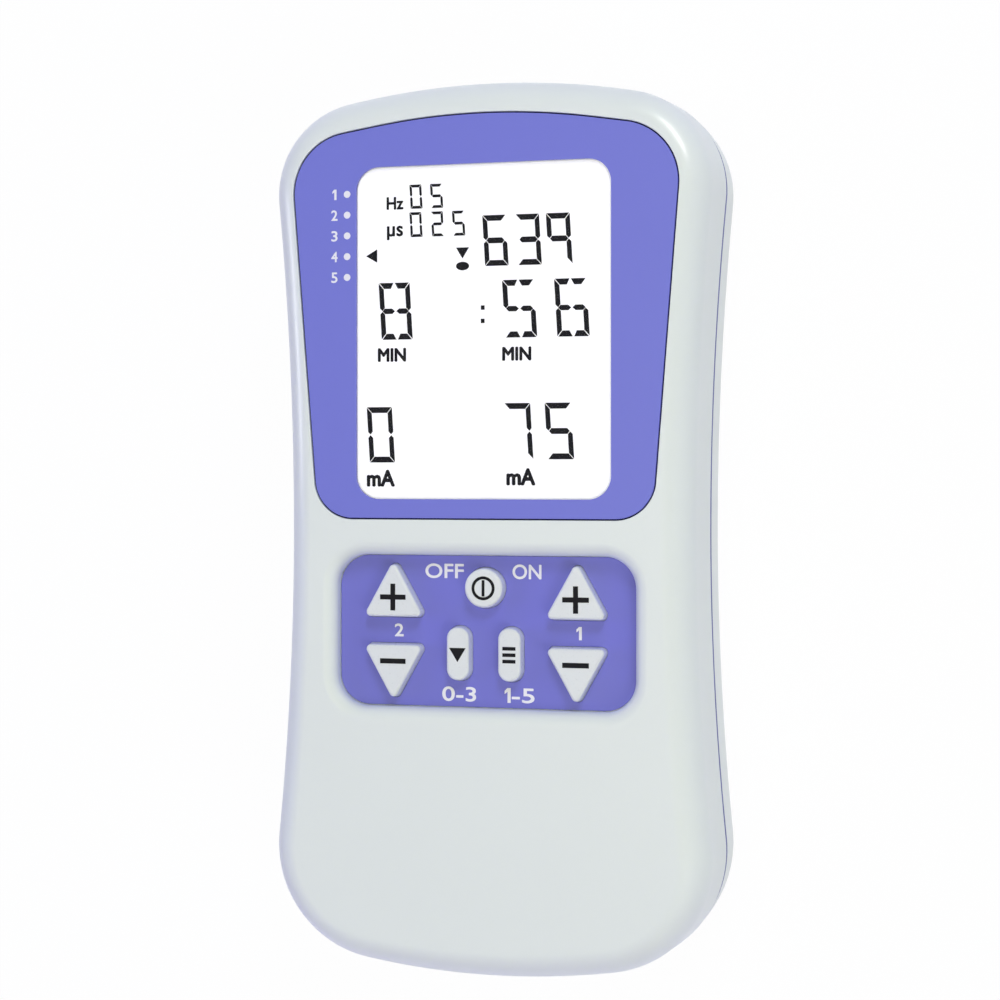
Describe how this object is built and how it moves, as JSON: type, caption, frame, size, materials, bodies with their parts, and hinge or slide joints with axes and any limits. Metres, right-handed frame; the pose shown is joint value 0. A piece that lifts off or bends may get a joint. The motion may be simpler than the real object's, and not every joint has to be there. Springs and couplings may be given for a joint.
{
  "type": "tens unit",
  "caption": "Handheld muscle stimulator: waisted moulded case with display overlay, dished keypad of sprung keys, lead sockets at the top end and a sliding battery door on the back.",
  "frame": {"origin": "middle of the flat back, on the surface that the unit lies on", "axes": "+X to the right across the face, +Y along the case to the end with the lead sockets, +Z out of the face"},
  "size_m": [0.065, 0.128, 0.029],
  "materials": {
    "case_plastic": "fine satin moulding",
    "overlay_film": "smooth satin print",
    "keypad_film": "smooth satin print",
    "key_plastic": "satin moulding",
    "clear_lens": "clear, polished",
    "display_glass": "pale display behind polished glass",
    "seal_foam": "closed-cell foam",
    "cord_rubber": "soft sealing cord",
    "dark_plastic": "satin moulding",
    "contact_rubber": "layered conductive rubber",
    "circuit_board": "solder mask",
    "bright_metal": "nickel plate",
    "screw_steel": "zinc plate",
    "switch_cover": "stamped steel",
    "ferrite": "sintered",
    "copper_wire": "lacquered wire",
    "capacitor_sleeve": "shrink sleeve",
    "battery_jacket": "lacquered steel",
    "sheet_film": "insulating paper"
  },
  "bodies": {
    "housing": {"front_shell": "case_plastic", "rear_shell": "case_plastic", "sealing_cord": "cord_rubber", "display_overlay": "overlay_film", "display_lens": "clear_lens", "display_seal": "seal_foam", "lcd_glass": "display_glass", "lcd_holder": "dark_plastic", "contact_strips": "contact_rubber", "keypad_panel": "keypad_film", "key_switches": "switch_cover", "main_board": "circuit_board", "microcontroller": "dark_plastic", "crystal": "bright_metal", "buzzer": "dark_plastic", "capacitors": "capacitor_sleeve", "transformer_cores": "ferrite", "transformer_coils": "copper_wire", "lead_sockets": "dark_plastic", "lead_sleeves": "bright_metal", "battery": "battery_jacket", "battery_terminals": "bright_metal", "contact_plate": "dark_plastic", "snap_contacts": "bright_metal", "contact_tabs": "bright_metal", "insulating_sheet": "sheet_film", "case_screws": "screw_steel", "board_screws": "screw_steel"},
    "plus_a_key": {"key_plus_a": "key_plastic", "plunger_plus_a": "dark_plastic"},
    "minus_a_key": {"key_minus_a": "key_plastic", "plunger_minus_a": "dark_plastic"},
    "plus_b_key": {"key_plus_b": "key_plastic", "plunger_plus_b": "dark_plastic"},
    "minus_b_key": {"key_minus_b": "key_plastic", "plunger_minus_b": "dark_plastic"},
    "power_key": {"key_power": "key_plastic", "plunger_power": "dark_plastic"},
    "program_key": {"key_program": "key_plastic", "plunger_program": "dark_plastic"},
    "set_key": {"key_set": "key_plastic", "plunger_set": "dark_plastic"},
    "battery_cover": {"battery_door": "case_plastic"}
  },
  "joints": [
    {"name": "plus_a_press", "type": "slide", "parent": "housing", "child": "plus_a_key", "axis": [0, 0, -1], "range_m": [0, 0.0006], "stiffness_N_per_m": 3000},
    {"name": "minus_a_press", "type": "slide", "parent": "housing", "child": "minus_a_key", "axis": [0, 0, -1], "range_m": [0, 0.0006], "stiffness_N_per_m": 3000},
    {"name": "plus_b_press", "type": "slide", "parent": "housing", "child": "plus_b_key", "axis": [0, 0, -1], "range_m": [0, 0.0006], "stiffness_N_per_m": 3000},
    {"name": "minus_b_press", "type": "slide", "parent": "housing", "child": "minus_b_key", "axis": [0, 0, -1], "range_m": [0, 0.0006], "stiffness_N_per_m": 3000},
    {"name": "power_press", "type": "slide", "parent": "housing", "child": "power_key", "axis": [0, 0, -1], "range_m": [0, 0.0006], "stiffness_N_per_m": 3000},
    {"name": "program_press", "type": "slide", "parent": "housing", "child": "program_key", "axis": [0, 0, -1], "range_m": [0, 0.0006], "stiffness_N_per_m": 3000},
    {"name": "set_press", "type": "slide", "parent": "housing", "child": "set_key", "axis": [0, 0, -1], "range_m": [0, 0.0006], "stiffness_N_per_m": 3000},
    {"name": "battery_door_slide", "type": "slide", "parent": "housing", "child": "battery_cover", "axis": [0, -1, 0], "range_m": [0, 0.058]}
  ]
}
